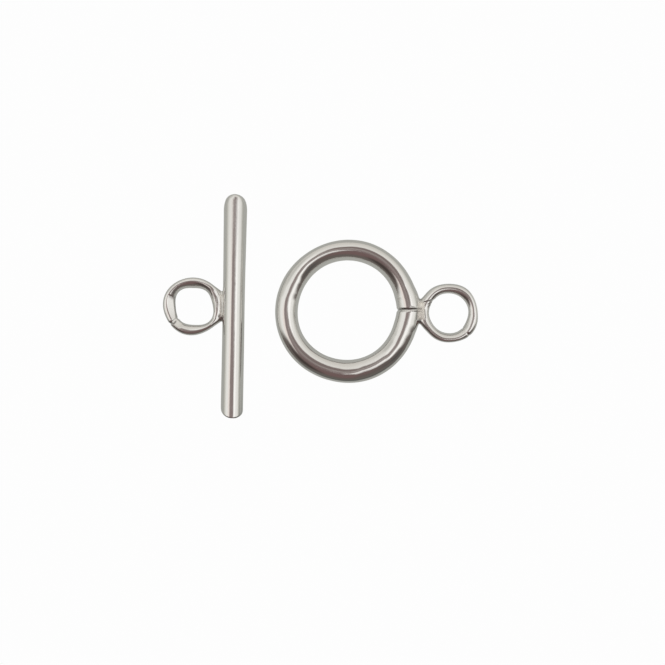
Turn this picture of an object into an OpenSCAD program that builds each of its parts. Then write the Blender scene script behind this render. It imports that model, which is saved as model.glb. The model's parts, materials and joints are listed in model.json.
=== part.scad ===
// Toggle clasp of polished steel wire: a ring half and a bar half, lying loose on a table.
// X runs from the bar to the ring, Y along the bar, and Z up. Millimetres and degrees.

/* [Ring] */
// Clear diameter inside the large ring
ring_id = 9; // [7:0.1:14]
// Diameter of the wire that the large ring is bent from
ring_wire = 2; // [1.5:0.1:3]
// Angle from the ring's eye to the ring's closing seam
ring_seam_angle = 2.8; // [-5:0.1:5]
// Width of the ring's closing seam at the wire's surface
ring_seam_w = 0.14; // [0.08:0.01:0.2]
// Depth of the ring's closing seam
ring_seam_depth = 0.3; // [0.2:0.01:0.5]
// How far the ring's seam goes on into the solder
ring_seam_run = 0.16; // [0.05:0.01:0.3]

/* [Ring eye] */
// Clear diameter of the ring's eye
ring_eye_id = 3.6; // [2.4:0.1:5]
// Diameter of the wire of the ring's eye
ring_eye_wire = 0.9; // [0.7:0.05:1.4]
// Angle from the eye's far side to its closing seam
ring_eye_seam_angle = -47; // [-130:1:130]

/* [Bar] */
// Length of the bar
bar_l = 20.3; // [16:0.1:28]
// Diameter of the bar
bar_wire = 2; // [1.6:0.1:3]
// How much thicker the bar is at its flared end
bar_flare = 0.15; // [0.02:0.01:0.3]
// Length of the flared end
bar_flare_l = 8; // [3:0.5:8]
// Radius of the rounded edge at each end of the bar
bar_edge_r = 0.8; // [0.3:0.05:0.8]
// How much larger the radius of the crowned end face is than the bar's own
bar_crown = 0.2; // [0.1:0.05:2]

/* [Bar eye] */
// Clear diameter of the bar's eye
bar_eye_id = 3.4; // [2.4:0.1:5]
// Diameter of the wire of the bar's eye
bar_eye_wire = 0.95; // [0.7:0.05:1.4]
// Angle from the eye's far side to its closing seam
bar_eye_seam_angle = 39; // [-130:1:130]

/* [Eyes] */
// Width of the straight land that the winding mandrel leaves inside each eye
eye_land = 0.2; // [0.1:0.05:0.3]
// Width of an eye's closing seam at the wire's surface
eye_seam_w = 0.1; // [0.05:0.01:0.15]
// Depth of an eye's closing seam
eye_seam_depth = 0.15; // [0.1:0.01:0.25]

/* [Solder] */
// Gap between the wires at a joint, filled with solder
solder_gap = 0.04; // [0.02:0.01:0.15]
// How far the solder stands above and below the eye's wire
solder_proud = 0.03; // [0.01:0.01:0.1]
// Radius of the hollow corners of solder at the ring
ring_fillet_r = 0.17; // [0.08:0.01:0.4]
// Radius of the hollow corners of solder at the bar
bar_fillet_r = 0.2; // [0.1:0.01:0.5]

/* [Layout] */
// Clear gap between the bar and the ring as they lie
halves_gap = 2.8; // [1.2:0.1:8]
// Lean of the bar, its flared end towards the ring
bar_lean = 1.1; // [-8:0.1:8]
// How far the middle of the bar lies beyond the ring's centre along Y
bar_shift = 0.45; // [-3:0.05:3]
// Turn of the ring's eye away from the X axis
ring_turn = -1; // [-8:0.1:8]

/* [Hidden] */
$fn = 128;
steel = [0.79, 0.78, 0.76];
// least flat left in the middle of a bar's end, and how far a cutter clears the wire
least_flat = 0.05;
clear = 0.1;

function radius_of(d) = d / 2;
// from an eye's centre to the middle of its wire, whose inner side is flattened to the land
function eye_mid_r(clear_d, wire) = clear_d / 2 + sqrt(pow(wire / 2, 2) - pow(eye_land / 2, 2));
function eye_outer_r(clear_d, wire) = eye_mid_r(clear_d, wire) + wire / 2;

ring_mid_r = (ring_id + ring_wire) / 2;
ring_outer_r = ring_id / 2 + ring_wire;
ring_eye_r = eye_outer_r(ring_eye_id, ring_eye_wire);
ring_eye_at = ring_outer_r + solder_gap + ring_eye_r;

bar_r = radius_of(bar_wire);
bar_top_r = bar_r + radius_of(bar_flare);
bar_eye_r = eye_outer_r(bar_eye_id, bar_eye_wire);
bar_eye_at = bar_r + solder_gap + bar_eye_r;

// a bar's end: edge radius, radius of the crowned face, and how far below the tip the edge starts
function edge_r(r) = min(bar_edge_r, r - least_flat);
function crown_r(r) = r + bar_crown;
function shoulder(r) = crown_r(r) - sqrt(pow(crown_r(r) - edge_r(r), 2) - pow(r - edge_r(r), 2));
top_shoulder_y = bar_l / 2 - shoulder(bar_top_r);
low_shoulder_y = bar_l / 2 - shoulder(bar_r);

// the bar lies on both its shoulders, and rolls until the far side of its eye touches the table too
bar_pitch = atan((bar_top_r - bar_r) / (top_shoulder_y + low_shoulder_y));
bar_z = edge_r(bar_r) + (bar_r - edge_r(bar_r)) * cos(bar_pitch) + low_shoulder_y * sin(bar_pitch);
bar_eye_mid_r = eye_mid_r(bar_eye_id, bar_eye_wire);
bar_roll = asin((bar_z - radius_of(bar_eye_wire)) / (bar_eye_at + bar_eye_mid_r));

// how far a leaning end reaches along Y from the middle of the bar
function crown_angle(r) = asin((r - edge_r(r)) / (crown_r(r) - edge_r(r)));
function crown_reach(r) = (bar_l / 2 - crown_r(r)) * cos(bar_lean) + crown_r(r);
function edge_reach(r) =
    (bar_l / 2 - shoulder(r)) * cos(bar_lean) + (r - edge_r(r)) * sin(abs(bar_lean)) + edge_r(r);
function end_reach(r) = abs(bar_lean) <= crown_angle(r) ? crown_reach(r) : edge_reach(r);

// sides of the whole clasp, seen from the ring's centre, so that its middle can be put at the origin
bar_x = -(ring_outer_r + halves_gap + bar_r);
bar_eye_half = bar_eye_mid_r * sqrt(1 - pow(sin(bar_roll) * cos(bar_lean), 2)) + radius_of(bar_eye_wire);
left_x = bar_x - bar_eye_at * cos(bar_roll) * cos(bar_lean) - bar_eye_half;
right_x = ring_eye_at * cos(ring_turn) + ring_eye_r;
high_y = max(bar_shift + end_reach(bar_top_r), ring_outer_r);
low_y = min(bar_shift - end_reach(bar_r), -ring_outer_r);
middle = [(left_x + right_x) / 2, (high_y + low_y) / 2, 0];

// V groove round a wire that runs along Y through the origin, cut on past its surface by run
module seam_groove(wire_r, w, depth, run) {
    mouth = w * (depth + run) / depth;
    rotate([90, 0, 0])
        rotate_extrude()
            polygon([[wire_r - depth, 0], [wire_r + run, -mouth / 2], [wire_r + run, mouth / 2]]);
}

// one turn of wire with a straight land inside and a closing seam, its centre at the origin
module eye(clear_d, wire, seam_angle) {
    mid_r = eye_mid_r(clear_d, wire);
    difference() {
        rotate_extrude()
            difference() {
                translate([mid_r, 0]) circle(d = wire);
                translate([0, -wire]) square([clear_d / 2, 2 * wire]);
            }
        rotate([0, 0, seam_angle])
            translate([mid_r, 0, 0])
                seam_groove(radius_of(wire), eye_seam_w, eye_seam_depth, clear);
    }
}

// solder between the ring at the origin and its eye on the X axis, hollow above and below the joint
module ring_solder() {
    corner_x = (pow(ring_eye_at, 2) + pow(ring_outer_r + ring_fillet_r, 2)
        - pow(ring_eye_r + ring_fillet_r, 2)) / (2 * ring_eye_at);
    corner_y = sqrt(pow(ring_outer_r + ring_fillet_r, 2) - pow(corner_x, 2));
    linear_extrude(height = ring_eye_wire + 2 * solder_proud, center = true)
        difference() {
            polygon([[0, 0], [corner_x, -corner_y], [ring_eye_at, 0], [corner_x, corner_y]]);
            circle(r = ring_mid_r);
            translate([ring_eye_at, 0]) circle(r = eye_mid_r(ring_eye_id, ring_eye_wire));
            for (side = [-1, 1])
                translate([corner_x, side * corner_y]) circle(r = ring_fillet_r);
        }
}

// solder between the bar on the Y axis and its eye on the X axis
module bar_solder() {
    corner_x = bar_r + bar_fillet_r;
    corner_y = sqrt(pow(bar_eye_r + bar_fillet_r, 2) - pow(bar_eye_at - corner_x, 2));
    linear_extrude(height = bar_eye_wire + 2 * solder_proud, center = true)
        difference() {
            polygon([
                [0, -corner_y],
                [corner_x, -corner_y],
                [bar_eye_at, 0],
                [corner_x, corner_y],
                [0, corner_y]
            ]);
            translate([bar_eye_at, 0]) circle(r = bar_eye_mid_r);
            for (side = [-1, 1])
                translate([corner_x, side * corner_y]) circle(r = bar_fillet_r);
        }
}

// half section of a crowned and rounded end, its tip at the origin and its axis along Y
module end_section(r) {
    e = edge_r(r);
    c = crown_r(r);
    ray = 2 * c / (c - e);
    intersection() {
        translate([0, -c]) circle(r = c);
        polygon([[0, -c], [ray * (r - e), -c + ray * (c - shoulder(r))], [0, c]]);
    }
    intersection() {
        translate([r - e, -shoulder(r)]) circle(r = e);
        translate([0, -2 * r]) square([2 * r, 3 * r]);
    }
}

// the bar along Y, its flared end towards +Y
module bar() {
    rotate([-90, 0, 0])
        rotate_extrude() {
            translate([0, bar_l / 2]) end_section(bar_top_r);
            translate([0, -bar_l / 2]) mirror([0, 1]) end_section(bar_r);
            polygon([
                [0, -low_shoulder_y],
                [bar_r, -low_shoulder_y],
                [bar_r, bar_l / 2 - bar_flare_l],
                [bar_top_r, top_shoulder_y],
                [0, top_shoulder_y]
            ]);
        }
}

// the ring half lies flat on its thick wire, its eye clear of the table
module toggle_ring() {
    color(steel)
        translate([0, 0, radius_of(ring_wire)] - middle)
            rotate([0, 0, ring_turn])
                difference() {
                    union() {
                        rotate_extrude() translate([ring_mid_r, 0]) circle(d = ring_wire);
                        translate([ring_eye_at, 0, 0])
                            eye(ring_eye_id, ring_eye_wire, ring_eye_seam_angle);
                        ring_solder();
                    }
                    rotate([0, 0, ring_seam_angle])
                        translate([ring_mid_r, 0, 0])
                            seam_groove(radius_of(ring_wire), ring_seam_w, ring_seam_depth, ring_seam_run);
                }
}

// the bar half lies on the bar and on the far side of its eye
module toggle_bar() {
    color(steel)
        translate([bar_x, bar_shift, bar_z] - middle)
            rotate([0, 0, -bar_lean])
                rotate([bar_pitch, 0, 0])
                    rotate([0, -bar_roll, 0])
                        union() {
                            bar();
                            rotate([0, 0, 180]) {
                                translate([bar_eye_at, 0, 0])
                                    eye(bar_eye_id, bar_eye_wire, bar_eye_seam_angle);
                                bar_solder();
                            }
                        }
}

toggle_ring();
toggle_bar();
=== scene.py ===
"""Toggle clasp of polished steel wire, lying loose in its two halves on a pale table.

Each half is one soldered piece. Its skin is worked out by a Geometry Nodes tree from named
sizes: wire bent round and closed at a seam, a small eye, and the solder between them.
All lengths are in metres.
"""

import json
import math

import bpy
from bpy.props import FloatProperty, FloatVectorProperty, PointerProperty
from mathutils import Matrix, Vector


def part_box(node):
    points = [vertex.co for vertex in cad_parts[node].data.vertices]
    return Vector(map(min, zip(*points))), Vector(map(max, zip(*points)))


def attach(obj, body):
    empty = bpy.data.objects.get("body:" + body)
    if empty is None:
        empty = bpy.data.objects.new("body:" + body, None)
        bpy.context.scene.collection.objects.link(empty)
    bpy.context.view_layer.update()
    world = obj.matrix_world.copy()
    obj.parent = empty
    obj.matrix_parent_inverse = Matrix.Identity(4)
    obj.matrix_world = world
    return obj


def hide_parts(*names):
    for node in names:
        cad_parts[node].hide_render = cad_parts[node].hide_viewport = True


bl_info = {
    "name": "Toggle clasp",
    "version": (1, 0, 0),
    "blender": (4, 5, 0),
    "location": "3D View > Sidebar > Clasp",
    "description": "Builds a soldered steel toggle clasp and its light tent",
    "category": "Object",
}

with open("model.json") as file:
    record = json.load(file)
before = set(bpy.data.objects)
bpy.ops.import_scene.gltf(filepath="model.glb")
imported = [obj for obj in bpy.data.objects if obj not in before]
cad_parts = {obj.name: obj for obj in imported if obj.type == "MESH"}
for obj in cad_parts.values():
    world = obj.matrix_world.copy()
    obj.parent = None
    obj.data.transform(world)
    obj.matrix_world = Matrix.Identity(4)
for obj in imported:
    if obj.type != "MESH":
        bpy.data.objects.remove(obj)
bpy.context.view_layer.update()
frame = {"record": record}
RING_LOW, RING_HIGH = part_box("toggle_ring")
BAR_LOW, BAR_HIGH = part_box("toggle_bar")
MOUNTS = {mount["name"]: mount for mount in frame["record"]["mounts"]}

MM = 0.001

# Length and width of the hairlines that polishing leaves along the wire
HAIRLINE_LENGTH = 3 * MM
HAIRLINE_WIDTH = 0.16 * MM

# Dark lines, in mm from above: start x, start y, end x, end y, width, strength. Some are dirt in
# seams and nicks, the rest painted shade in the notches and creases beside the solder and along the
# eye's pressed step
RING_MARKS = (
    (7.1, -0.27, 8.5, -0.25, 0.18, 0.55),
    (8.5, -0.25, 9.05, -0.24, 0.14, 0.5),
    (8.74, 0.75, 8.68, 0.0, 0.07, 0.3),
    (8.69, -0.4, 8.63, -1.2, 0.1, 0.55),
    (9.38, -0.3, 9.43, -1.1, 0.08, 0.5),
    (8.97, -1.25, 8.97, -1.4, 0.2, 0.6),
    (9.06, 0.52, 9.06, 0.66, 0.2, 0.35),
    (8.15, -0.03, 8.5, -0.13, 0.1, 0.5),
    (9.3, 0.39, 9.95, 0.54, 0.1, 0.45),
    (9.97, 0.33, 9.99, 0.34, 0.11, 0.7),
    (9.84, 0.06, 9.86, 0.07, 0.12, 0.8),
    (9.67, 0.17, 9.69, 0.18, 0.1, 0.4),
    (13.28, -2.5, 13.36, -2.42, 0.14, 0.6),
)
# Dirt in the bar eye's seam, painted shade on the inner side of its flat, and painted dark shade
# and reflection lines beside the bar's joint
BAR_MARKS = (
    (-13.81, -1.42, -13.41, -1.6, 0.12, 0.75),
    (-13.41, -1.6, -13.25, -1.4, 0.14, 0.7),
    (-13.33, 0.8, -13.3, -0.2, 0.2, 0.3),
    (-13.3, -0.2, -13.2, -0.95, 0.2, 0.25),
    (-9.08, -0.55, -9.08, 0.3, 0.07, 0.5),
    (-9.49, 0.75, -9.46, 0.4, 0.07, 0.6),
    (-9.46, 0.3, -9.46, -0.1, 0.07, 0.5),
)

# Where dull solder shows, in mm from above: middle x and y, half width, half height, softness
RING_SOLDER = (9.03, -0.42, 0.35, 0.8, 0.07)
BAR_SOLDER = (-9.13, 0.05, 0.1, 1.02, 0.06)

# Where the hairlines change from the ring or the bar to its eye, by x from above
RING_EYE_START = 9.0 * MM
BAR_EYE_END = -9.05 * MM

# Where the steel is duller, in mm from above, and by how much. A band has its shares of x and y,
# and where along these it is gone and whole. A round patch has its middle x and y, and how far
# from there it is gone and whole.
RING_EYE_BAND = (1, 0, 8.6, 9.6)
RING_EYE_WEAR = 0.03
UPPER_END_BAND = (0, 1, 1, 9)
UPPER_END_WEAR = 0.15
BAR_EYE_PATCH = (-13.0, 1.5, 1.3, 0.5)
BAR_EYE_WEAR = 0.12

# Shares of a dark line's width at which it is gone and whole
MARK_GONE = 0.8
MARK_WHOLE = 0.2

# Sizes of the unevenness of the solder's edge and of the steel's gloss, ripples and grain
SOLDER_EDGE_SIZE = 0.3 * MM
GLOSS_SIZE = 1.4 * MM
RIPPLE_SIZE = 0.5 * MM
GRAIN_SIZE = 0.1 * MM
SOLDER_EDGE_DEPTH = 0.12 * MM

# Colour and roughness of the dark lines: dirt in seams and nicks, and painted shade in notches and
# creases
DIRT_AND_SHADE_COLOUR = (0.09, 0.08, 0.07)
DIRT_AND_SHADE_ROUGHNESS = 0.5

# Edge of the small cubes that a half is first cut into, how far they reach past its box, how
# often its skin is then drawn true, and how far apart the skin's slope is felt for that
RING_GRAIN = 0.066 * MM
BAR_GRAIN = 0.054 * MM
MARGIN = 0.25 * MM
TRUING_PASSES = 3
PROBE = 0.004 * MM


class Number:
    """One number in a node tree. Plain arithmetic on it adds Math nodes to the tree."""

    def __init__(self, tree, socket):
        self.tree = tree
        self.socket = socket

    def __add__(self, other):
        return calc("ADD", self, other)

    def __radd__(self, other):
        return calc("ADD", other, self)

    def __sub__(self, other):
        return calc("SUBTRACT", self, other)

    def __rsub__(self, other):
        return calc("SUBTRACT", other, self)

    def __mul__(self, other):
        return calc("MULTIPLY", self, other)

    def __rmul__(self, other):
        return calc("MULTIPLY", other, self)

    def __truediv__(self, other):
        return calc("DIVIDE", self, other)

    def __rtruediv__(self, other):
        return calc("DIVIDE", other, self)

    def __neg__(self):
        return calc("MULTIPLY", self, -1.0)

    def __abs__(self):
        return calc("ABSOLUTE", self)


class Spot:
    """A point or a direction in a node tree, as three Numbers."""

    def __init__(self, x, y, z):
        self.x = x
        self.y = y
        self.z = z

    def __sub__(self, other):
        return Spot(self.x - other.x, self.y - other.y, self.z - other.z)

    def __mul__(self, factor):
        return Spot(self.x * factor, self.y * factor, self.z * factor)


def feed(tree, socket, value):
    """Links a Number or an output to an input, or writes a plain value into it."""
    if isinstance(value, Number):
        tree.links.new(value.socket, socket)
    elif isinstance(value, Spot):
        tree.links.new(joined(value), socket)
    elif isinstance(value, bpy.types.NodeSocket):
        tree.links.new(value, socket)
    else:
        socket.default_value = value


def calc(operation, *terms):
    """The result of a Math node, as a Number."""
    tree = next(term.tree for term in terms if isinstance(term, Number))
    node = tree.nodes.new("ShaderNodeMath")
    node.operation = operation
    for socket, term in zip(node.inputs, terms):
        feed(tree, socket, term)
    return Number(tree, node.outputs[0])


def add_node(tree, kind, settings=None, **inputs):
    """A node with its settings made and its inputs fed by name, with underscores for spaces."""
    node = tree.nodes.new(kind)
    for name, value in (settings or {}).items():
        setattr(node, name, value)
    for name, value in inputs.items():
        feed(tree, node.inputs[name.replace("_", " ")], value)
    return node


def parts_of(tree, vector):
    """A vector output taken apart into a Spot."""
    node = add_node(tree, "ShaderNodeSeparateXYZ", Vector=vector)
    return Spot(*(Number(tree, output) for output in node.outputs))


def joined(spot):
    """A Spot put together again into a vector output."""
    tree = next(term.tree for term in (spot.x, spot.y, spot.z) if isinstance(term, Number))
    node = add_node(tree, "ShaderNodeCombineXYZ", X=spot.x, Y=spot.y, Z=spot.z)
    return node.outputs[0]


def dot(a, b):
    """Dot product of two Spots."""
    return a.x * b.x + a.y * b.y + a.z * b.z


def cross(a, b):
    """Cross product of two Spots."""
    return Spot(a.y * b.z - a.z * b.y, a.z * b.x - a.x * b.z, a.x * b.y - a.y * b.x)


def hypot(*terms):
    """Square root of the sum of the squares of Numbers."""
    return calc("SQRT", sum_of([term * term for term in terms]))


def sum_of(terms):
    """Sum of Numbers without a leading zero node."""
    total = terms[0]
    for term in terms[1:]:
        total = total + term
    return total


def positive(value):
    """A value, or 0 where it is below 0."""
    return calc("MAXIMUM", value, 0.0)


def clamped(value):
    """A value held between 0 and 1."""
    return positive(calc("MINIMUM", value, 1.0))


def smooth_step(value, low, high):
    """0 below low, 1 above high, and a soft S between them."""
    node = add_node(
        value.tree,
        "ShaderNodeMapRange",
        {"interpolation_type": "SMOOTHSTEP"},
        Value=value,
        From_Min=low,
        From_Max=high,
    )
    return Number(value.tree, node.outputs["Result"])


def fading(turn, full, gone):
    """1 up to a full angle, and softly down to 0 at the angle where it is gone, in degrees."""
    return smooth_step(turn, math.radians(gone), math.radians(full))


def noise(tree, vector, size, detail=2.0):
    """Soft noise between about -0.5 and 0.5, in patches of about a size."""
    node = add_node(tree, "ShaderNodeTexNoise", Vector=vector, Scale=1 / size, Detail=detail)
    return Number(tree, node.outputs[0]) - 0.5


def arrange(tree, rows=14, step=(190, 170)):
    """Lays the nodes of a tree out in columns, in the order in which they were made."""
    for index, node in enumerate(tree.nodes):
        node.location = (index // rows * step[0], -(index % rows) * step[1])


SOCKETS = {
    "length": ("NodeSocketFloat", "DISTANCE"),
    "angle": ("NodeSocketFloat", "ANGLE"),
    "point": ("NodeSocketVector", "TRANSLATION"),
    "direction": ("NodeSocketVector", "DIRECTION"),
}


def new_tree(name, sizes, position_in=False):
    """A Geometry Nodes tree with one named input for each size, and its group input."""
    tree = bpy.data.node_groups.new(name, "GeometryNodeTree")
    if position_in:
        tree.interface.new_socket("Position", in_out="INPUT", socket_type="NodeSocketVector")
    for label, (kind, value) in sizes.items():
        socket_type, subtype = SOCKETS[kind]
        socket = tree.interface.new_socket(label, in_out="INPUT", socket_type=socket_type)
        socket.subtype = subtype
        socket.default_value = value
    return tree, tree.nodes.new("NodeGroupInput")


class Sizes:
    """Reads the named inputs of a tree as Numbers and Spots."""

    def __init__(self, tree, entry):
        self.tree = tree
        self.entry = entry
        self.spots = {}

    def number(self, label):
        """The number of a named input."""
        return Number(self.tree, self.entry.outputs[label])

    def spot(self, label):
        """The point or direction of a named input."""
        if label not in self.spots:
            self.spots[label] = parts_of(self.tree, self.entry.outputs[label])
        return self.spots[label]


def wire_loop(spot, middle, half_width, wire_r):
    """Distance to a closed loop of wire that lies round the z axis of a spot."""
    outwards = (hypot(spot.x, spot.y) - middle) * (wire_r / half_width)
    return hypot(outwards, spot.z) - wire_r


def lobes(turn, rows):
    """Cosine waves round a loop, from rows of waves, height in mm and a crest in degrees."""
    waves = []
    for count, height, crest in rows:
        waves.append(calc("COSINE", (turn - math.radians(crest)) * count) * (height * MM))
    return sum_of(waves)


def seam_frame(spot, angle):
    """Distance across a seam, and 1 on the side of the loop where the seam is."""
    cosine = calc("COSINE", angle)
    sine = calc("SINE", angle)
    across = spot.y * cosine - spot.x * sine
    ahead = spot.x * cosine + spot.y * sine
    return across, calc("GREATER_THAN", ahead, 0.0)


def seam_dip(size, label, across, ahead):
    """How far the skin sinks in the soft groove where two ends of wire meet."""
    near = 1.0 - smooth_step(abs(across), 0.0, size.number(label + " width"))
    return near * size.number(label + " depth") * ahead


def rounded_block(spot, half, edge_r):
    """Distance to a block with rounded edges, centred on a spot's origin."""
    x = abs(spot.x) - (half[0] - edge_r)
    y = abs(spot.y) - (half[1] - edge_r)
    z = abs(spot.z) - (half[2] - edge_r)
    outside = hypot(positive(x), positive(y), positive(z))
    inside = calc("MINIMUM", calc("MAXIMUM", x, calc("MAXIMUM", y, z)), 0.0)
    return outside + inside - edge_r


def blend(a, b, width):
    """Union of two distances with a hollow fillet."""
    return calc("SMOOTH_MIN", a, b, width)


# Loops that pliers have left not quite round: rows of waves, height in mm and crest in degrees.
# A row of no waves makes the whole outline larger, and a row of one wave shifts it.
RING_OUTER_LOBES = (
    (0, 0.01, 0),
    (1, 0.03, -65),
    (2, 0.02, 25),
    (3, 0.03, -55),
    (4, 0.01, 5),
    (5, 0.015, 5),
)
RING_INNER_LOBES = (
    (1, 0.08, 100),
    (2, 0.06, 60),
    (3, 0.02, -45),
    (4, 0.025, 30),
)
RING_EYE_OUTER_LOBES = (
    (0, 0.01, 0),
    (1, 0.03, -10),
    (2, 0.04, -40),
    (3, 0.03, 60),
    (4, 0.025, -35),
    (5, 0.025, -30),
    (6, 0.01, 5),
)
RING_EYE_INNER_LOBES = (
    (1, 0.04, -25),
    (2, 0.03, -85),
    (3, 0.01, 30),
    (4, 0.02, 25),
    (6, 0.01, 5),
)
BAR_EYE_OUTER_LOBES = (
    (0, 0.065, 0),
    (1, 0.065, -100),
    (2, 0.1, 0),
    (3, 0.045, 10),
    (4, 0.035, -10),
)
BAR_EYE_INNER_LOBES = (
    (0, 0.09, 0),
    (1, 0.1, -70),
    (2, 0.08, -35),
    (3, 0.01, -20),
    (4, 0.085, -40),
)

# Stretches of a loop where the wire is twisted a little: middle and reach in degrees, and how
# steeply the wire's upper side rises outwards there. A twist is whole over a third of its reach.
RING_TWISTS = (
    (85, 80, 0.08),
    (118, 26, 0.08),
    (156, 14, -0.06),
    (-122, 50, 0.09),
    (-88, 14, 0.05),
    (-66, 20, -0.04),
    (-40, 14, 0.06),
)
RING_EYE_TWISTS = (
    (-85, 40, 0.1),
    (15, 45, 0.12),
    (140, 40, -0.1),
)
BAR_EYE_TWISTS = ((-125, 36, 0.15),)

# How far above a wire's middle a twist is whole. It is gone twice as far below.
RING_TWIST_HEIGHT = 0.2 * MM
EYE_TWIST_HEIGHT = 0.1 * MM

# How steeply the upper side of an eye's wire rises outwards: the near side of the ring's eye,
# and the bar's eye on average and how much that changes round it
RING_EYE_NEAR_RISE = 0.3
BAR_EYE_RISE = 0.25
BAR_EYE_RISE_CHANGE = 0.1

# How steeply the bar's eye falls away outside and inside of the ridge beside its joint
RIDGE_FALL_OUT = 0.32
RIDGE_FALL_IN = 0.08

# Angles in degrees up to which a form is whole and where it is gone: the swells of the ring above
# and below its joint, the swell of each eye at its joint, and the ridge of the bar's eye
SWELL_ABOVE_SPAN = (11, 23)
SWELL_BELOW_SPAN = (11, 19)
RING_EYE_SWELL_SPAN = (160, 135)
BAR_EYE_SWELL_SPAN = (26, 44)
RIDGE_SPAN = (22, 48)

# The step in the ring's eye: its slant, its softness, and where in y and in x from the eye's
# middle the pressed stretch comes in
STEP_SLANT = 0.23
STEP_SOFTNESS = 0.035 * MM
STEP_SPAN = (-0.9 * MM, 0.5 * MM)
STEP_SIDE = (-0.9 * MM, -1.2 * MM)

# How much wider the hollow corners are in the notches beside the solder
NOTCH_GROWTH = 0.8

# Sizes of the lumps in the solder and of the dents in the wire
LUMP_SIZE = 0.35 * MM
DENT_SIZE = 2.4 * MM


def twists(turn, rows):
    """How steeply the upper side of a wire rises outwards, from rows of middle, reach and rise."""
    terms = []
    for middle, reach, rise in rows:
        away = abs(turn - math.radians(middle))
        terms.append(fading(away, reach / 3, reach) * rise)
    return sum_of(terms)


def raised(spot, lift, height):
    """A spot read so that the upper side of its wire stands higher by a lift."""
    upper = smooth_step(spot.z, -2 * height, height)
    return Spot(spot.x, spot.y, spot.z - lift * upper)


def uneven_loop(spot, turn, middle, wire_r, inner_lobes, outer_lobes, swell):
    """Distance to a loop of wire whose inner and outer outlines each have lobes of their own."""
    inner = middle - wire_r + lobes(turn, inner_lobes)
    outer = middle + wire_r + lobes(turn, outer_lobes) + swell
    return wire_loop(spot, (inner + outer) * 0.5, (outer - inner) * 0.5, wire_r)


def ring_half_distance(sizes):
    """Signed distance to the skin of the ring half, as a group."""
    tree, entry = new_tree("Ring half distance", sizes, position_in=True)
    size = Sizes(tree, entry)
    at = size.spot("Position")
    ring = at - size.spot("Ring centre")
    eye = at - size.spot("Eye centre")
    joint = at - size.spot("Solder centre")
    wires = blend(large_ring(ring, size), ring_eye(eye, size), notched_fillet(joint, size))
    close_half(tree, size, entry, wires, solder_lump(joint, size))
    return tree


def large_ring(ring, size):
    """Distance to the large ring, whose ends spring and swell a little beside the joint."""
    wire_r = size.number("Ring wire radius")
    turn = calc("ARCTAN2", ring.y, ring.x)
    across, ahead = seam_frame(ring, size.number("Ring seam angle"))
    spring = positive(1.0 - abs(across) / size.number("Ring end reach")) * ahead
    middle = size.number("Ring middle radius") + spring * size.number("Ring end spring")
    above = fading(turn, *SWELL_ABOVE_SPAN) * calc("GREATER_THAN", turn, 0.0)
    below = fading(-turn, *SWELL_BELOW_SPAN) * calc("LESS_THAN", turn, 0.0)
    swell = above * size.number("Ring swell above") + below * size.number("Ring swell below")
    lift = twists(turn, RING_TWISTS) * (hypot(ring.x, ring.y) - middle)
    twisted = raised(ring, lift, RING_TWIST_HEIGHT)
    loop = uneven_loop(twisted, turn, middle, wire_r, RING_INNER_LOBES, RING_OUTER_LOBES, swell)
    return loop + seam_dip(size, "Ring dip", across, ahead)


def ring_eye(eye, size):
    """Distance to the ring's eye, with its seam and its pressed end of wire."""
    wire_r = size.number("Eye wire radius")
    turn = calc("ARCTAN2", eye.y, eye.x)
    across, ahead = seam_frame(eye, size.number("Eye seam angle"))
    middle = size.number("Eye middle radius")
    swell = fading(abs(turn), *RING_EYE_SWELL_SPAN) * size.number("Eye swell")
    rise = positive(calc("SINE", turn) * -RING_EYE_NEAR_RISE) + twists(turn, RING_EYE_TWISTS)
    twisted = raised(eye, rise * (hypot(eye.x, eye.y) - middle), EYE_TWIST_HEIGHT)
    loop = uneven_loop(
        twisted, turn, middle, wire_r, RING_EYE_INNER_LOBES, RING_EYE_OUTER_LOBES, swell
    )
    return loop + seam_dip(size, "Eye dip", across, ahead) + pressed_end(eye, size)


def pressed_end(eye, size):
    """How far the skin sinks beyond the step where the eye's upper end of wire is pressed down."""
    step = eye.y - eye.x * STEP_SLANT - size.number("Step place")
    beyond = smooth_step(step, STEP_SOFTNESS, -STEP_SOFTNESS)
    above = smooth_step(eye.y, *STEP_SPAN)
    on_left = smooth_step(eye.x, *STEP_SIDE)
    return beyond * above * on_left * size.number("Step depth")


def notched_fillet(joint, size):
    """Width of the hollow corners, which grows in the notches beside the solder."""
    notches = smooth_step(abs(joint.y), size.number("Notch start"), size.number("Notch end"))
    return size.number("Fillet") * (1.0 + NOTCH_GROWTH * notches)


def solder_lump(spot, size):
    """Distance to the lump of solder that fills a joint."""
    half = [size.number("Solder half " + side) for side in ("length", "width", "height")]
    return rounded_block(spot, half, size.number("Solder edge"))


def close_half(tree, size, entry, skin, block):
    """Joins the solder to the wires, ripples the skin and sends out the distance."""
    place = entry.outputs["Position"]
    block = block + noise(tree, place, LUMP_SIZE) * size.number("Solder lump")
    skin = blend(skin, block, size.number("Solder fillet"))
    skin = skin + noise(tree, place, DENT_SIZE, 1.0) * size.number("Dents")
    tree.interface.new_socket("Distance", in_out="OUTPUT", socket_type="NodeSocketFloat")
    leaving = tree.nodes.new("NodeGroupOutput")
    feed(tree, leaving.inputs["Distance"], skin)
    arrange(tree)


def bar_half_distance(sizes):
    """Signed distance to the skin of the bar half, as a group."""
    tree, entry = new_tree("Bar half distance", sizes, position_in=True)
    size = Sizes(tree, entry)
    at = size.spot("Position")
    rod = bar_rod(at - size.spot("Bar centre"), size)
    eye = turned_place(at - size.spot("Eye centre"), size)
    joint = turned_place(at - size.spot("Solder centre"), size)
    wires = blend(rod, bar_eye(eye, size), notched_fillet(joint, size))
    close_half(tree, size, entry, wires, solder_lump(joint, size))
    return tree


# How much wider than the bar the strip is that shapes its ends
STRIP_MARGIN = 0.1 * MM

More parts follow.
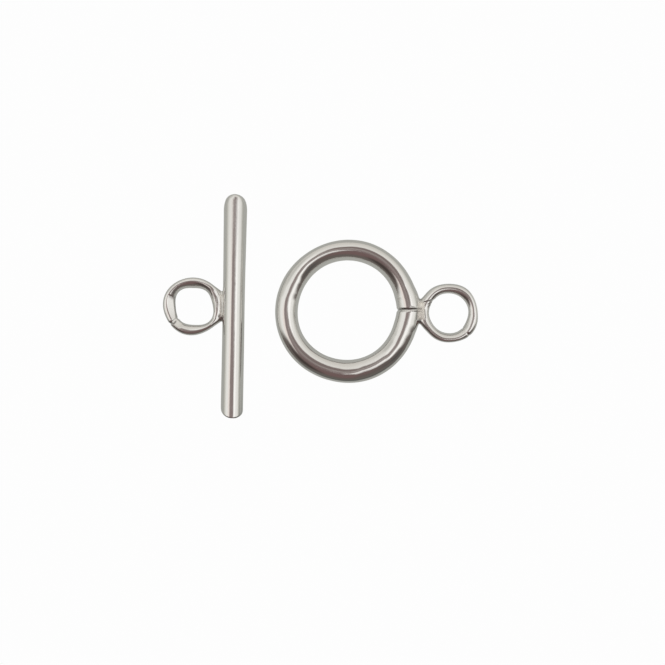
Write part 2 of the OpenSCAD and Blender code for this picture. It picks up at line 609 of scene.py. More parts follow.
# How much softer the edge of the flared end is, and where along the bar that comes in
FLARED_EDGE_GROWTH = 2.3
FLARED_EDGE_SPAN = (8.6 * MM, 9.6 * MM)

# Where the faint shallow edge comes in, across the bar and along it
DRAW_LINE_SIDE = (0.0, 0.28 * MM)
DRAW_LINE_SPAN = (2 * MM, -8 * MM)

# How the bar's corners differ in radius: by end, by side, and by both at once
CORNER_BY_END = 0.0875 * MM
CORNER_BY_SIDE = -0.0375 * MM
CORNER_BY_BOTH = 0.0875 * MM


def bar_rod(bar, size):
    """Distance to the straight bar, with its flare, its ends and its faint shallow edge."""
    axis = size.spot("Bar axis")
    along = dot(bar, axis)
    across = bar.x * axis.y - bar.y * axis.x
    aside = calc("SQRT", positive(dot(bar, bar) - along * along))
    half_length = size.number("Bar half length")
    flare_length = size.number("Flare length")
    share = clamped((along - (half_length - flare_length)) / flare_length)
    bar_r = size.number("Bar radius") + share * size.number("Flare")
    corner = size.number("Bar corner")
    plan = bar_plan(across, along, bar_r + STRIP_MARGIN, half_length, corner)
    flared = smooth_step(along, *FLARED_EDGE_SPAN)
    end_edge = size.number("Bar edge") * (1.0 + FLARED_EDGE_GROWTH * flared)
    draw_line = smooth_step(across, *DRAW_LINE_SIDE) * smooth_step(along, *DRAW_LINE_SPAN)
    side = aside - bar_r - draw_line * size.number("Draw line")
    return calc("SMOOTH_MAX", side, plan, end_edge)


def bar_plan(across, along, half_width, half_length, corner):
    """Distance to the bar's outline from above, a strip whose four corners are rounded unlike."""
    end = calc("SIGN", along)
    side = calc("SIGN", across)
    corner = corner + end * CORNER_BY_END + side * CORNER_BY_SIDE + end * side * CORNER_BY_BOTH
    x = abs(across) - (half_width - corner)
    y = abs(along) - (half_length - corner)
    outside = hypot(positive(x), positive(y))
    return outside + calc("MINIMUM", calc("MAXIMUM", x, y), 0.0) - corner


def bar_eye(eye, size):
    """Distance to the bar's eye, with its ridge beside the joint, its flat and its seam."""
    wire_r = size.number("Eye wire radius")
    turn = calc("ARCTAN2", eye.y, eye.x)
    middle = size.number("Eye middle radius")
    across, ahead = seam_frame(eye, size.number("Eye seam angle"))
    outwards = hypot(eye.x, eye.y) - middle
    at_joint = fading(abs(turn), *RIDGE_SPAN)
    rise = calc("SINE", turn) * BAR_EYE_RISE_CHANGE + BAR_EYE_RISE + twists(turn, BAR_EYE_TWISTS)
    from_ridge = outwards + size.number("Ridge place")
    fall = calc("MAXIMUM", from_ridge * RIDGE_FALL_OUT, from_ridge * -RIDGE_FALL_IN)
    lift = rise * (1.0 - at_joint) * outwards - fall * at_joint
    shaped = raised(eye, lift, EYE_TWIST_HEIGHT)
    swell = fading(abs(turn), *BAR_EYE_SWELL_SPAN) * size.number("Eye swell")
    loop = uneven_loop(
        shaped, turn, middle, wire_r, BAR_EYE_INNER_LOBES, BAR_EYE_OUTER_LOBES, swell
    )
    loop = calc("SMOOTH_MAX", loop, slanting_flat(eye, outwards, size), size.number("Flat edge"))
    return loop + seam_dip(size, "Eye dip", across, ahead)


# The slanting flat, in degrees round the eye from its far point: where its start, the stretch past
# its seam and its end are whole and gone, then its lean and how much less it is past the seam
FLAT_START = (-22, -30)
FLAT_SEAM = (42, 37)
FLAT_END = (55, 80)
FLAT_LEAN = 30
FLAT_LEAN_LOST = 6

# How much the flat leans more along the wire, how far it steps down at the seam, and how high
# it is held above the wire where there is none
FLAT_TWIST = 0.15
FLAT_STEP = 0.04 * MM
FLAT_CLEARANCE = 0.25 * MM


def slanting_flat(eye, outwards, size):
    """Distance to the flat that the pliers left on the eye's far side, up to its seam."""
    turn = calc("ARCTAN2", -eye.y, -eye.x)
    past_seam = fading(turn, *FLAT_SEAM)
    lean = turn * FLAT_TWIST + math.radians(FLAT_LEAN) - past_seam * math.radians(FLAT_LEAN_LOST)
    height = size.number("Flat height")
    flat = eye.z * calc("COSINE", lean) - outwards * calc("SINE", lean) - height
    flat = flat + past_seam * FLAT_STEP
    there = fading(turn, *FLAT_START) * fading(turn, *FLAT_END)
    return flat - (1.0 - there) * FLAT_CLEARANCE


def turned_place(offset, size):
    """An offset read in the bar eye's own directions: across the bar, along it, and up the eye."""
    up = size.spot("Eye axis")
    along = size.spot("Bar axis")
    return Spot(dot(offset, cross(along, up)), dot(offset, along), dot(offset, up))


def distance_at(tree, entry, group, sizes, position):
    """Distance at a position, by the group's node fed from the tree's own named inputs."""
    node = tree.nodes.new("GeometryNodeGroup")
    node.node_tree = group
    feed(tree, node.inputs["Position"], position)
    for label in sizes:
        tree.links.new(entry.outputs[label], node.inputs[label])
    return Number(tree, node.outputs[0])


# Four corners of a cube, no two of them on one edge, whose differences give a slope
CORNERS = ((1, -1, -1), (-1, -1, 1), (-1, 1, -1), (1, 1, 1))


def slope_and_distance(tree, entry, group, sizes):
    """The slope of the distance and the distance itself, at each point of the mesh."""
    position = tree.nodes.new("GeometryNodeInputPosition").outputs[0]
    readings = []
    for corner in CORNERS:
        shifted = add_node(tree, "ShaderNodeVectorMath", {"operation": "ADD"})
        feed(tree, shifted.inputs[0], position)
        feed(tree, shifted.inputs[1], [PROBE * side for side in corner])
        readings.append(distance_at(tree, entry, group, sizes, shifted.outputs[0]))
    slopes = []
    for axis in range(3):
        signed = [reading * float(corner[axis]) for reading, corner in zip(readings, CORNERS)]
        slopes.append(sum_of(signed) / (4 * PROBE))
    return Spot(*slopes), sum_of(readings) / 4


def skin_tree(name, sizes, group, low, high, grain):
    """Tree that cuts a half out of small cubes, draws its skin true and gives it its finish."""
    tree, entry = new_tree(name, sizes)
    tree.interface.new_socket("Geometry", in_out="OUTPUT", socket_type="NodeSocketGeometry")
    tree.interface.new_socket("Finish", in_out="INPUT", socket_type="NodeSocketMaterial")
    grain_in = tree.interface.new_socket("Grain", in_out="INPUT", socket_type="NodeSocketFloat")
    grain_in.subtype = "DISTANCE"
    grain_in.default_value = grain
    low = low - Vector((MARGIN, MARGIN, MARGIN))
    high = high + Vector((MARGIN, MARGIN, MARGIN))

    position = tree.nodes.new("GeometryNodeInputPosition").outputs[0]
    inside = -distance_at(tree, entry, group, sizes, position)
    cubes = add_node(
        tree, "GeometryNodeVolumeCube", Density=inside, Background=-1.0, Min=low, Max=high
    )
    for axis, label in enumerate("XYZ"):
        count = (high[axis] - low[axis]) / Number(tree, entry.outputs["Grain"])
        feed(tree, cubes.inputs["Resolution " + label], count)
    mesh = add_node(tree, "GeometryNodeVolumeToMesh", Volume=cubes.outputs[0], Threshold=0.0)
    shape = mesh.outputs[0]
    for _ in range(TRUING_PASSES):
        slope, distance = slope_and_distance(tree, entry, group, sizes)
        move = slope * (-distance / dot(slope, slope))
        shape = add_node(tree, "GeometryNodeSetPosition", Geometry=shape, Offset=move).outputs[0]
    shape = add_node(tree, "GeometryNodeSetShadeSmooth", Geometry=shape).outputs[0]
    slope, _ = slope_and_distance(tree, entry, group, sizes)
    exact = tree.nodes.new("GeometryNodeSetMeshNormal")
    exact.mode = "FREE"
    feed(tree, exact.inputs["Mesh"], shape)
    feed(tree, exact.inputs["Custom Normal"], slope)
    whole = add_node(tree, "GeometryNodeRealizeInstances", Geometry=exact.outputs[0])
    finish = add_node(
        tree, "GeometryNodeSetMaterial", Geometry=whole.outputs[0], Material=entry.outputs["Finish"]
    )
    leaving = tree.nodes.new("NodeGroupOutput")
    feed(tree, leaving.inputs["Geometry"], finish.outputs[0])
    arrange(tree)
    return tree


def mesh_from_tree(name, tree, sizes, finish):
    """Runs a tree on an empty mesh and keeps the result as a plain mesh object."""
    scene = bpy.context.scene
    holder = bpy.data.objects.new(name + "_maker", bpy.data.meshes.new(name + "_maker"))
    scene.collection.objects.link(holder)
    modifier = holder.modifiers.new("Shape", "NODES")
    modifier.node_group = tree
    for item in tree.interface.items_tree:
        if item.item_type != "SOCKET" or item.in_out != "INPUT":
            continue
        if item.name in sizes:
            modifier[item.identifier] = sizes[item.name][1]
        elif item.name == "Finish":
            modifier[item.identifier] = finish
    bpy.context.view_layer.update()
    graph = bpy.context.evaluated_depsgraph_get()
    mesh = bpy.data.meshes.new_from_object(holder.evaluated_get(graph), depsgraph=graph)
    mesh.name = name
    bpy.data.objects.remove(holder)
    piece = bpy.data.objects.new(name, mesh)
    scene.collection.objects.link(piece)
    if not mesh.polygons:
        raise RuntimeError(name + " came out empty")
    return piece


def keep_with_frame(piece, node):
    """Fastens a finished half to the frame in place of its plain solid."""
    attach(piece, "root")
    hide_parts(node)


def loop_run(place, centre, middle, wire_r):
    """A point's place on a loop of wire, slow along it and fast across it, as hairlines need it."""
    offset = place - Spot(*centre)
    around = hypot(offset.x, offset.y)
    slow = middle / HAIRLINE_LENGTH
    tilt = calc("ARCTAN2", offset.z, around - middle) * (wire_r / HAIRLINE_WIDTH)
    return Spot(offset.x / around * slow, offset.y / around * slow, tilt)


def bar_run(place, centre, axis, bar_r):
    """A point's place on the bar, slow along it and fast across it."""
    offset = place - Spot(*centre)
    along = dot(offset, Spot(*axis))
    across = offset.x * axis.y - offset.y * axis.x
    tilt = calc("ARCTAN2", offset.z, across) * (bar_r / HAIRLINE_WIDTH)
    return Spot(along / HAIRLINE_LENGTH, tilt, 0.0)


def dark_mark(place, row):
    """1 on a short dark line between two points seen from above, and 0 beside it."""
    start_x, start_y, end_x, end_y, width, strength = row
    ahead_x = (end_x - start_x) * MM
    ahead_y = (end_y - start_y) * MM
    x = place.x - start_x * MM
    y = place.y - start_y * MM
    share = clamped((x * ahead_x + y * ahead_y) / (ahead_x**2 + ahead_y**2))
    distance = hypot(x - share * ahead_x, y - share * ahead_y)
    return smooth_step(distance, MARK_GONE * width * MM, MARK_WHOLE * width * MM) * strength


def soft_band(place, row):
    """0 on one side of a soft band seen from above, and 1 on the other."""
    x_share, y_share, gone, whole = row
    return smooth_step(place.x * x_share + place.y * y_share, gone * MM, whole * MM)


def round_patch(place, row):
    """1 on a soft round patch seen from above, and 0 beside it."""
    middle_x, middle_y, gone, whole = row
    distance = hypot(place.x - middle_x * MM, place.y - middle_y * MM)
    return smooth_step(distance, gone * MM, whole * MM)


def soft_patch(place, row, unevenness):
    """1 on a soft rectangle seen from above, and 0 beside it."""
    middle_x, middle_y, half_x, half_y, softness = row
    x = abs(place.x - middle_x * MM) - (half_x - softness) * MM
    y = abs(place.y - middle_y * MM) - (half_y - softness) * MM
    distance = hypot(positive(x), positive(y)) + unevenness
    return smooth_step(distance, 2 * softness * MM, 0.0)


def steel_finish(name, look, patch, marks, run, wear):
    """Polished stainless steel with hairlines, soft ripples, dull solder, dark seams and painted
    shade lines.

    patch is where solder shows, marks lists the dark lines of seam dirt and painted shade, run
    gives the place along and round the wire, and wear says how much duller the steel is from place
    to place.
    """
    material = bpy.data.materials.new(name)
    material.use_nodes = True
    tree = material.node_tree
    shader = tree.nodes["Principled BSDF"]
    where = tree.nodes.new("ShaderNodeTexCoord").outputs["Object"]
    place = parts_of(tree, where)
    solder = soft_patch(place, patch, noise(tree, where, SOLDER_EDGE_SIZE) * SOLDER_EDGE_DEPTH)
    # Dark lines: dirt in seams and nicks, and painted shade in notches, creases and beside steps
    # and flats
    dirt_and_shade = dark_mark(place, marks[0])
    for row in marks[1:]:
        dirt_and_shade = calc("MAXIMUM", dirt_and_shade, dark_mark(place, row))

    colour = mixed_colour(tree, solder, rgba(*look.colour), rgba(*look.solder_colour))
    colour = mixed_colour(tree, dirt_and_shade, colour, rgba(*DIRT_AND_SHADE_COLOUR))
    feed(tree, shader.inputs["Base Color"], colour)
    feed(tree, shader.inputs["Metallic"], 1.0 - solder * (1.0 - look.solder_metal))
    rough = noise(tree, where, GLOSS_SIZE, 3.0) * look.gloss_change + wear(place) + look.roughness
    dull = calc("MAXIMUM", solder * look.solder_roughness, dirt_and_shade * DIRT_AND_SHADE_ROUGHNESS)
    feed(tree, shader.inputs["Roughness"], calc("MAXIMUM", rough, dull))

    grain = noise(tree, where, GRAIN_SIZE) * look.grain_depth
    ripple = noise(tree, where, RIPPLE_SIZE) * look.ripple_depth
    hairlines = noise(tree, joined(run(place)), 1.0, 3.0) * look.hairline_depth
    height = grain + ripple + hairlines - dirt_and_shade * look.mark_depth
    bump = add_node(tree, "ShaderNodeBump", Height=height, Distance=1.0, Strength=1.0)
    feed(tree, shader.inputs["Normal"], bump.outputs[0])
    arrange(tree)
    return material


def ring_half_finish(look, sizes):
    """The ring half's steel, with hairlines round the ring and round its eye."""
    ring = sizes["Ring centre"][1]
    ring_sizes = (sizes["Ring middle radius"][1], sizes["Ring wire radius"][1])
    eye = sizes["Eye centre"][1]
    eye_sizes = (sizes["Eye middle radius"][1], sizes["Eye wire radius"][1])

    def run(place):
        on_eye = calc("GREATER_THAN", place.x, RING_EYE_START)
        on_ring = loop_run(place, ring, *ring_sizes)
        return chosen(on_eye, on_ring, loop_run(place, eye, *eye_sizes))

    def wear(place):
        return soft_band(place, RING_EYE_BAND) * RING_EYE_WEAR

    return steel_finish("Ring half steel", look, RING_SOLDER, RING_MARKS, run, wear)


def bar_half_finish(look, sizes):
    """The bar half's steel, with hairlines along the bar and round its eye."""
    bar = sizes["Bar centre"][1]
    axis = sizes["Bar axis"][1]
    bar_r = sizes["Bar radius"][1]
    eye = sizes["Eye centre"][1]
    eye_sizes = (sizes["Eye middle radius"][1], sizes["Eye wire radius"][1])

    def run(place):
        on_eye = calc("LESS_THAN", place.x, BAR_EYE_END)
        on_bar = bar_run(place, bar, axis, bar_r)
        return chosen(on_eye, on_bar, loop_run(place, eye, *eye_sizes))

    def wear(place):
        upper_end = soft_band(place, UPPER_END_BAND) * UPPER_END_WEAR
        return upper_end + round_patch(place, BAR_EYE_PATCH) * BAR_EYE_WEAR

    return steel_finish("Bar half steel", look, BAR_SOLDER, BAR_MARKS, run, wear)


def chosen(choice, first, second):
    """The second Spot where choice is 1, and the first where it is 0."""
    stay = 1.0 - choice
    return Spot(
        first.x * stay + second.x * choice,
        first.y * stay + second.y * choice,
        first.z * stay + second.z * choice,
    )


def eye_middle_radius(mount, wire):
    """Middle radius of an eye's wire, whose inner side has a straight land as its bore."""
    bore_r = mount["dims"]["r_mm"] * MM
    half_land = mount["dims"]["length_mm"] * MM / 2
    return bore_r + math.sqrt((wire / 2) ** 2 - half_land**2)


def length_size(name, description, default):
    """A length that a user can change."""
    return FloatProperty(
        name=name,
        description=description,
        default=default,
        min=0.0,
        precision=6,
        subtype="DISTANCE",
        unit="LENGTH",
    )


def angle_size(name, description, degrees):
    """An angle that a user can change."""
    return FloatProperty(
        name=name,
        description=description,
        default=math.radians(degrees),
        subtype="ANGLE",
        unit="ROTATION",
    )


def share_size(name, description, default):
    """A share from 0 to 1 that a user can change."""
    return FloatProperty(
        name=name, description=description, default=default, min=0.0, max=1.0, subtype="FACTOR"
    )


def colour_size(name, description, default):
    """A colour that a user can change."""
    return FloatVectorProperty(name=name, description=description, default=default, subtype="COLOR")


class RingHalfSettings(bpy.types.PropertyGroup):
    """Sizes of the ring half."""

    outer_d: length_size("Ring outside", "Outside diameter of the ring", RING_HIGH.y - RING_LOW.y)
    wire_d: length_size("Ring wire", "Diameter of the large ring's wire", 2.0 * MM)
    seam_angle: angle_size("Seam", "Angle of the large ring's closing seam", 1.2)
    end_spring: length_size("End spring", "How far the wire's ends spring outwards", 0.09 * MM)
    eye_wire_d: length_size("Eye wire", "Diameter of the eye's wire", 0.9 * MM)
    eye_seam_angle: angle_size("Eye seam", "Angle of the eye's closing seam", -48)
    solder_height: length_size("Solder height", "Thickness of the solder", 0.9 * MM)
    fillet: length_size("Fillet", "Width of the hollow corners of solder", 0.3 * MM)
    dents: length_size("Dents", "Height of the soft unevenness of the wire", 0.03 * MM)


class BarHalfSettings(bpy.types.PropertyGroup):
    """Sizes of the bar half."""

    length: length_size("Length", "Length of the bar", 20.3 * MM)
    wire_d: length_size("Diameter", "Diameter of the bar", 2.0 * MM)
    flare: length_size("Flare", "How much thicker the bar is at its flared end", 0.15 * MM)
    lean: angle_size("Lean", "Lean of the bar's flared end towards the ring", 1.1)
    end_corner: length_size("End corner", "Mean radius of the bar's corners from above", 1.11 * MM)
    end_edge: length_size("End edge", "Softness of the edge of the bar's end", 0.2 * MM)
    eye_wire_d: length_size("Eye wire", "Diameter of the eye's wire", 0.95 * MM)
    eye_seam_angle: angle_size("Eye seam", "Angle of the eye's closing seam", 219)
    solder_height: length_size("Solder height", "Thickness of the solder", 0.5 * MM)
    fillet: length_size("Fillet", "Width of the hollow corners of solder", 0.3 * MM)
    dents: length_size("Dents", "Height of the soft unevenness of the wire", 0.02 * MM)


class SteelSettings(bpy.types.PropertyGroup):
    """Look of the steel."""

    colour: colour_size("Steel", "Colour of the polished steel", (0.785, 0.78, 0.765))
    roughness: share_size("Roughness", "Mean roughness", 0.11)
    gloss_change: share_size("Gloss change", "How much the roughness wanders", 0.08)
    grain_depth: length_size("Grain depth", "Depth of the tumbled grain", 0.0003 * MM)
    ripple_depth: length_size("Ripple depth", "Depth of the ripples left by bending", 0.003 * MM)
    hairline_depth: length_size("Hairline depth", "Depth of the polishing lines", 0.0025 * MM)
    mark_depth: length_size("Mark depth", "Depth of the dark lines in seams", 0.02 * MM)
    solder_colour: colour_size("Solder", "Colour of the dull solder", (0.97, 0.95, 0.89))
    solder_metal: share_size("Solder metal", "How metallic the dull solder is", 0.15)
    solder_roughness: share_size("Solder roughness", "Roughness of the solder", 0.55)


class StageSettings(bpy.types.PropertyGroup):
    """Table, light tent and camera."""

    table_w: length_size("Table", "Width of the table", 1.2)
    table_colour: colour_size("Table colour", "Light that the steel sees in it", (0.47, 0.47, 0.44))
    tent_light: FloatProperty(
        name="Tent light", description="Brightness of the tent", default=1.0, min=0.0
    )
    lens: FloatProperty(name="Lens", description="Focal length in millimetres", default=100.0)
    camera_height: length_size("Camera height", "Height of the camera over the table", 168.9 * MM)


def length(value):
    """A length for an input of a tree."""
    return ("length", value)


def angle(value):
    """An angle for an input of a tree."""
    return ("angle", value)


def point(value):
    """A place for an input of a tree."""
    return ("point", Vector(value))


def direction(value):
    """A direction for an input of a tree."""
    return ("direction", Vector(value).normalized())


# How far the middle of the solder lies from the ring's centre and from the bar's axis, how much
# it is shifted along the ring's joint, and the gap that it fills between the bar and its eye
RING_SOLDER_REACH = 6.6 * MM
RING_SOLDER_SHIFT = Vector((0, 0.09 * MM, 0))
BAR_SOLDER_REACH = 1.0 * MM
EYE_GAP = 0.04 * MM


def ring_half_sizes(settings):
    """The ring half's sizes, by the names of its tree's inputs."""
    mount = MOUNTS["ring_eye"]
    wire_r = settings.wire_d / 2
    centre = Vector((RING_LOW.x + settings.outer_d / 2, (RING_LOW.y + RING_HIGH.y) / 2, wire_r))
    eye_centre = Vector(mount["pos_m"])
    ahead = (eye_centre - centre).normalized()
    return {
        "Ring centre": point(centre),
        "Ring middle radius": length(settings.outer_d / 2 - wire_r),
        "Ring wire radius": length(wire_r),
        "Ring seam angle": angle(settings.seam_angle),
        "Ring end spring": length(settings.end_spring),
        "Ring end reach": length(1.1 * MM),
        "Ring swell above": length(0.12 * MM),
        "Ring swell below": length(0.06 * MM),
        "Ring dip width": length(0.2 * MM),
        "Ring dip depth": length(0.08 * MM),
        "Eye centre": point(eye_centre),
        "Eye middle radius": length(eye_middle_radius(mount, settings.eye_wire_d)),
        "Eye wire radius": length(settings.eye_wire_d / 2),
        "Eye seam angle": angle(settings.eye_seam_angle),
        "Eye swell": length(0.08 * MM),
        "Eye dip width": length(0.16 * MM),
        "Eye dip depth": length(0.04 * MM),
        "Step place": length(1.53 * MM),
        "Step depth": length(0.06 * MM),
        "Solder centre": point(centre + ahead * RING_SOLDER_REACH + RING_SOLDER_SHIFT),
        "Solder half length": length(0.42 * MM),
        "Solder half width": length(0.66 * MM),
        "Solder half height": length(settings.solder_height / 2),
        "Solder edge": length(0.25 * MM),
        "Solder lump": length(0.02 * MM),
        "Solder fillet": length(settings.fillet * 0.6),
        "Fillet": length(settings.fillet),
        "Notch start": length(0.45 * MM),
        "Notch end": length(0.95 * MM),
        "Dents": length(settings.dents),
    }


def bar_half_sizes(settings):
    """The bar half's sizes, by the names of its tree's inputs."""
    mount = MOUNTS["bar_eye"]
    up = Vector(mount["axis"])
    lean = Vector((math.sin(settings.lean), math.cos(settings.lean), 0))
    axis = (lean - up * lean.dot(up)).normalized()
    eye_centre = Vector(mount["pos_m"])
    eye_middle = eye_middle_radius(mount, settings.eye_wire_d)
    bar_r = settings.wire_d / 2
    eye_at = bar_r + EYE_GAP + eye_middle + settings.eye_wire_d / 2
    towards_bar = axis.cross(up)
    centre = eye_centre + towards_bar * eye_at
    return {
        "Bar centre": point(centre),
        "Bar axis": direction(axis),
        "Bar half length": length(settings.length / 2),
        "Bar radius": length(bar_r),
        "Bar edge": length(settings.end_edge),
        "Bar corner": length(settings.end_corner),
        "Flare": length(settings.flare / 2),
        "Flare length": length(8 * MM),
        "Draw line": length(0.02 * MM),
        "Eye centre": point(eye_centre),
        "Eye axis": direction(up),
        "Eye middle radius": length(eye_middle),
        "Eye wire radius": length(settings.eye_wire_d / 2),
        "Eye seam angle": angle(settings.eye_seam_angle),
        "Eye swell": length(0.11 * MM),
        "Eye dip width": length(0.18 * MM),
        "Eye dip depth": length(0.07 * MM),
        "Ridge place": length(0.07 * MM),
        "Flat height": length(0.35 * MM),
        "Flat edge": length(0.04 * MM),
        "Solder centre": point(centre - towards_bar * BAR_SOLDER_REACH),
        "Solder half length": length(0.3 * MM),
        "Solder half width": length(0.95 * MM),
        "Solder half height": length(settings.solder_height / 2),
        "Solder edge": length(0.28 * MM),
        "Solder lump": length(0.02 * MM),
        "Solder fillet": length(settings.fillet),
        "Fillet": length(settings.fillet),
        "Notch start": length(0.7 * MM),
        "Notch end": length(1.2 * MM),
        "Dents": length(settings.dents),
    }


class CLASP_OT_ring_half(bpy.types.Operator):
    """Make the ring half: large ring, eye and solder"""

    bl_idname = "clasp.ring_half"
    bl_label = "Ring half"

    def execute(self, context):
        sizes = ring_half_sizes(context.scene.clasp_ring)
        group = ring_half_distance(sizes)
        tree = skin_tree("Ring half", sizes, group, RING_LOW, RING_HIGH, RING_GRAIN)
        finish = ring_half_finish(context.scene.clasp_steel, sizes)
        piece = mesh_from_tree("ring_half", tree, sizes, finish)
        keep_with_frame(piece, "toggle_ring")
        return {"FINISHED"}


class CLASP_OT_bar_half(bpy.types.Operator):
    """Make the bar half: bar, eye and solder"""

    bl_idname = "clasp.bar_half"
    bl_label = "Bar half"

    def execute(self, context):
        sizes = bar_half_sizes(context.scene.clasp_bar)
        group = bar_half_distance(sizes)
        tree = skin_tree("Bar half", sizes, group, BAR_LOW, BAR_HIGH, BAR_GRAIN)
        finish = bar_half_finish(context.scene.clasp_steel, sizes)
        piece = mesh_from_tree("bar_half", tree, sizes, finish)
        keep_with_frame(piece, "toggle_bar")
        return {"FINISHED"}


def mixed_colour(tree, share, first, second):
    """A colour between two, by a share from 0 to 1."""
    node = add_node(tree, "ShaderNodeMix", {"data_type": "RGBA"})
    feed(tree, node.inputs[0], share)
    feed(tree, node.inputs[6], first)
    feed(tree, node.inputs[7], second)
    return node.outputs[2]


def rgba(red, green, blue):
    """An opaque colour."""
    return (red, green, blue, 1.0)


# What the camera sees behind the clasp and below it
WHITE = (1.0, 1.0, 1.0)
PALE = (0.985, 0.985, 0.985)
BLACK = (0.0, 0.0, 0.0)

# Soft round cards in the light tent, in the order in which they cover each other, all angles in
# degrees: turn from x, angle from straight up, radius, softness of the edge, and colour
BACK_CARDS = (
    (0, 25, 10, 8, (1.2, 1.18, 1.16)),
    (195, 30, 10, 6, (0.99, 0.9, 0.85)),
    (134, 29, 4, 4, (1.1, 1.08, 1.04)),
    (140, 65, 12, 10, (0.62, 0.61, 0.57)),
    (357, 88, 12, 9, (0.44, 0.43, 0.39)),
)
FRONT_CARDS = (
    (262, 40, 16, 14, (0.19, 0.125, 0.12)),
    (229, 58, 13, 9, (0.07, 0.055, 0.05)),
    (317, 61, 9, 7, (0.1, 0.095, 0.09)),
    (303, 21, 6, 5, (0.85, 0.83, 0.81)),
    (240, 14, 14, 4, (0.2, 0.145, 0.14)),
    (174, 11, 10.5, 5, (0.3, 0.245, 0.235)),
    (64, 17.5, 16.5, 4, (0.23, 0.185, 0.175)),
    (97, 6, 3, 2.5, (0.42, 0.38, 0.36)),
    (314, 15, 3.5, 3.5, (1.3, 1.26, 1.23)),
    (290, 14, 4, 3.5, (1.0, 0.97, 0.94)),
)

# Colours of the tent: overhead, low down, at the back, and its dark front above and low down
TENT_OVERHEAD = (0.98, 0.965, 0.93)
TENT_LOW = (0.52, 0.515, 0.46)
TENT_BACK = (0.74, 0.71, 0.66)
TENT_FRONT = (0.145, 0.12, 0.11)
TENT_FRONT_LOW = (0.155, 0.14, 0.125)

# Where each of these comes in, from none to whole, by the height of a direction for the low
# colours and by how far it points backwards for the others
LOW_SPAN = (0.66, -0.05)
BACK_SPAN = (0.0, 1.25)
FRONT_SPAN = (-0.19, -0.36)
FRONT_LOW_SPAN = (0.56, -0.05)


def with_cards(tree, colour, towards, cards):
    """The tent's colour with soft round cards laid over it."""
    for turn, zenith, radius, softness, shade in cards:
        turn = math.radians(turn)
        aside = math.sin(math.radians(zenith))
        up = math.cos(math.radians(zenith))
        middle = Spot(aside * math.cos(turn), aside * math.sin(turn), up)
        edge_out = math.cos(math.radians(radius + softness))
        edge_in = math.cos(math.radians(max(radius - softness, 0.1)))
        share = smooth_step(dot(towards, middle), edge_out, edge_in)
        colour = mixed_colour(tree, share, colour, rgba(*shade))
    return colour


def light_tent(settings):
    """Soft light from all round, with a dark side in front and soft cards about the sky."""
    world = bpy.data.worlds.new("Light tent")
    world.use_nodes = True
    tree = world.node_tree
    tree.nodes.clear()
    towards = parts_of(tree, tree.nodes.new("ShaderNodeTexCoord").outputs["Generated"])
    low_down = smooth_step(towards.z, *LOW_SPAN)
    colour = mixed_colour(tree, low_down, rgba(*TENT_OVERHEAD), rgba(*TENT_LOW))
    back = smooth_step(towards.y, *BACK_SPAN)
    colour = mixed_colour(tree, back, colour, rgba(*TENT_BACK))
    colour = with_cards(tree, colour, towards, BACK_CARDS)
    front = smooth_step(towards.y, *FRONT_SPAN)
    front_low = smooth_step(towards.z, *FRONT_LOW_SPAN)
    shade = mixed_colour(tree, front_low, rgba(*TENT_FRONT), rgba(*TENT_FRONT_LOW))
    colour = mixed_colour(tree, front, colour, shade)
    colour = with_cards(tree, colour, towards, FRONT_CARDS)
    to_camera = tree.nodes.new("ShaderNodeLightPath").outputs["Is Camera Ray"]
    colour = mixed_colour(tree, to_camera, colour, rgba(*WHITE))
    light = add_node(tree, "ShaderNodeBackground", Color=colour, Strength=settings.tent_light)
    leaving = tree.nodes.new("ShaderNodeOutputWorld")
    feed(tree, leaving.inputs["Surface"], light.outputs[0])
    arrange(tree)
    return world


# Light that the steel sees in the table, in bands and a round patch like those of the wear:
# brighter at the back and beside the ring's eye, darker in front of the bar and far in front
TABLE_LIGHT = 0.95
BACK_BAND = (0.35, 1, -3, 2)
BACK_GAIN = 0.42
BAR_SIDE_BAND = (1, 0, -2, -5)
FRONT_BAND = (-0.5, 1, -4, -10)
FRONT_LOSS = 0.4
FAR_BAND = (0, 1, -9.5, -14)
FAR_LOSS = 0.75
FAR_LOSS_LESS_BY_BAR = 0.25
BRIGHT_PATCH = (15.3, 0.5, 2.4, 1.3)
PATCH_COLOUR = (0.85, 0.84, 0.82)


def table_finish(settings):
    """Pale table, lit from below: to the steel a soft light with painted shade in front of the bar
    and far in front and a painted pool of light beside the ring's eye, and white for the camera.
    """
    material = bpy.data.materials.new("Pale table")
    material.use_nodes = True
    tree = material.node_tree
    tree.nodes.clear()
    place = parts_of(tree, tree.nodes.new("ShaderNodeTexCoord").outputs["Object"])
    by_bar = soft_band(place, BAR_SIDE_BAND)
    front_loss = FRONT_LOSS * soft_band(place, FRONT_BAND) * by_bar
    far_loss = (FAR_LOSS - FAR_LOSS_LESS_BY_BAR * by_bar) * soft_band(place, FAR_BAND)
    light = TABLE_LIGHT + BACK_GAIN * soft_band(place, BACK_BAND)
    light = light * (1.0 - front_loss) * (1.0 - far_loss)
    colour = mixed_colour(tree, light, rgba(*BLACK), rgba(*settings.table_colour))
    colour = mixed_colour(tree, round_patch(place, BRIGHT_PATCH), colour, rgba(*PATCH_COLOUR))
    matt = add_node(tree, "ShaderNodeEmission", Color=colour)
    white = add_node(tree, "ShaderNodeEmission", Color=rgba(*PALE))
    to_camera = tree.nodes.new("ShaderNodeLightPath").outputs["Is Camera Ray"]
    mix = tree.nodes.new("ShaderNodeMixShader")
    feed(tree, mix.inputs[0], to_camera)
    feed(tree, mix.inputs[1], matt.outputs[0])
    feed(tree, mix.inputs[2], white.outputs[0])
    leaving = tree.nodes.new("ShaderNodeOutputMaterial")
    feed(tree, leaving.inputs["Surface"], mix.outputs[0])
    arrange(tree)
    return material


# The camera looks straight down on this place
CAMERA_X = 1.016 * MM
CAMERA_Y = -2.388 * MM
SENSOR_WIDTH = 36.0
CLIP_NEAR = 0.01
CLIP_FAR = 10.0


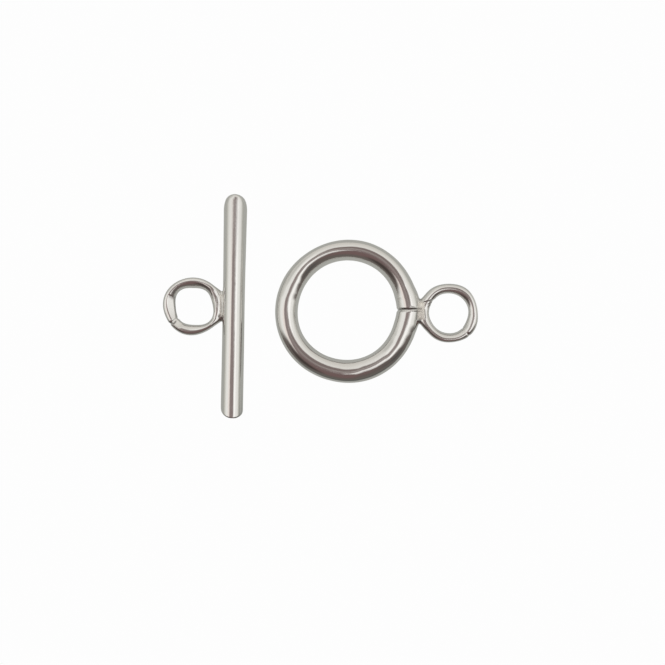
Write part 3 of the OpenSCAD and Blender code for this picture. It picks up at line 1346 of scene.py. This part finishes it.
class CLASP_OT_stage(bpy.types.Operator):
    """Make the table, the light tent and the camera"""

    bl_idname = "clasp.stage"
    bl_label = "Stage"

    def execute(self, context):
        scene = context.scene
        settings = scene.clasp_stage
        scene.view_settings.view_transform = "Standard"
        scene.world = light_tent(settings)

        half = settings.table_w / 2
        corners = [(-half, -half, 0), (half, -half, 0), (half, half, 0), (-half, half, 0)]
        mesh = bpy.data.meshes.new("table")
        mesh.from_pydata(corners, [], [(0, 1, 2, 3)])
        mesh.materials.append(table_finish(settings))
        table = bpy.data.objects.new("table", mesh)
        scene.collection.objects.link(table)

        camera_data = bpy.data.cameras.new("camera")
        camera_data.lens = settings.lens
        camera_data.sensor_width = SENSOR_WIDTH
        camera_data.clip_start = CLIP_NEAR
        camera_data.clip_end = CLIP_FAR
        camera = bpy.data.objects.new("camera", camera_data)
        camera.location = (CAMERA_X, CAMERA_Y, settings.camera_height)
        scene.collection.objects.link(camera)
        scene.camera = camera
        return {"FINISHED"}


class CLASP_PT_panel(bpy.types.Panel):
    """Lists the clasp's pieces"""

    bl_idname = "CLASP_PT_panel"
    bl_label = "Toggle clasp"
    bl_space_type = "VIEW_3D"
    bl_region_type = "UI"
    bl_category = "Clasp"

    def draw(self, context):
        layout = self.layout
        for settings in SETTINGS:
            group = getattr(context.scene, settings)
            box = layout.box()
            for name in group.__annotations__:
                box.prop(group, name)
        for operator in OPERATORS:
            layout.operator(operator.bl_idname)


OPERATORS = (CLASP_OT_stage, CLASP_OT_ring_half, CLASP_OT_bar_half)
SETTINGS = {
    "clasp_ring": RingHalfSettings,
    "clasp_bar": BarHalfSettings,
    "clasp_steel": SteelSettings,
    "clasp_stage": StageSettings,
}


def register():
    """Makes the settings, the operators and the panel known."""
    for group in SETTINGS.values():
        bpy.utils.register_class(group)
    for operator in OPERATORS:
        bpy.utils.register_class(operator)
    bpy.utils.register_class(CLASP_PT_panel)
    for name, group in SETTINGS.items():
        setattr(bpy.types.Scene, name, PointerProperty(type=group))


def unregister():
    """Takes the settings, the operators and the panel away again."""
    for name in SETTINGS:
        delattr(bpy.types.Scene, name)
    bpy.utils.unregister_class(CLASP_PT_panel)
    for operator in OPERATORS:
        bpy.utils.unregister_class(operator)
    for group in SETTINGS.values():
        bpy.utils.unregister_class(group)


def main():
    """Builds the stage and both halves."""
    register()
    bpy.ops.clasp.stage()
    bpy.ops.clasp.ring_half()
    bpy.ops.clasp.bar_half()


if __name__ == "__main__":
    main()
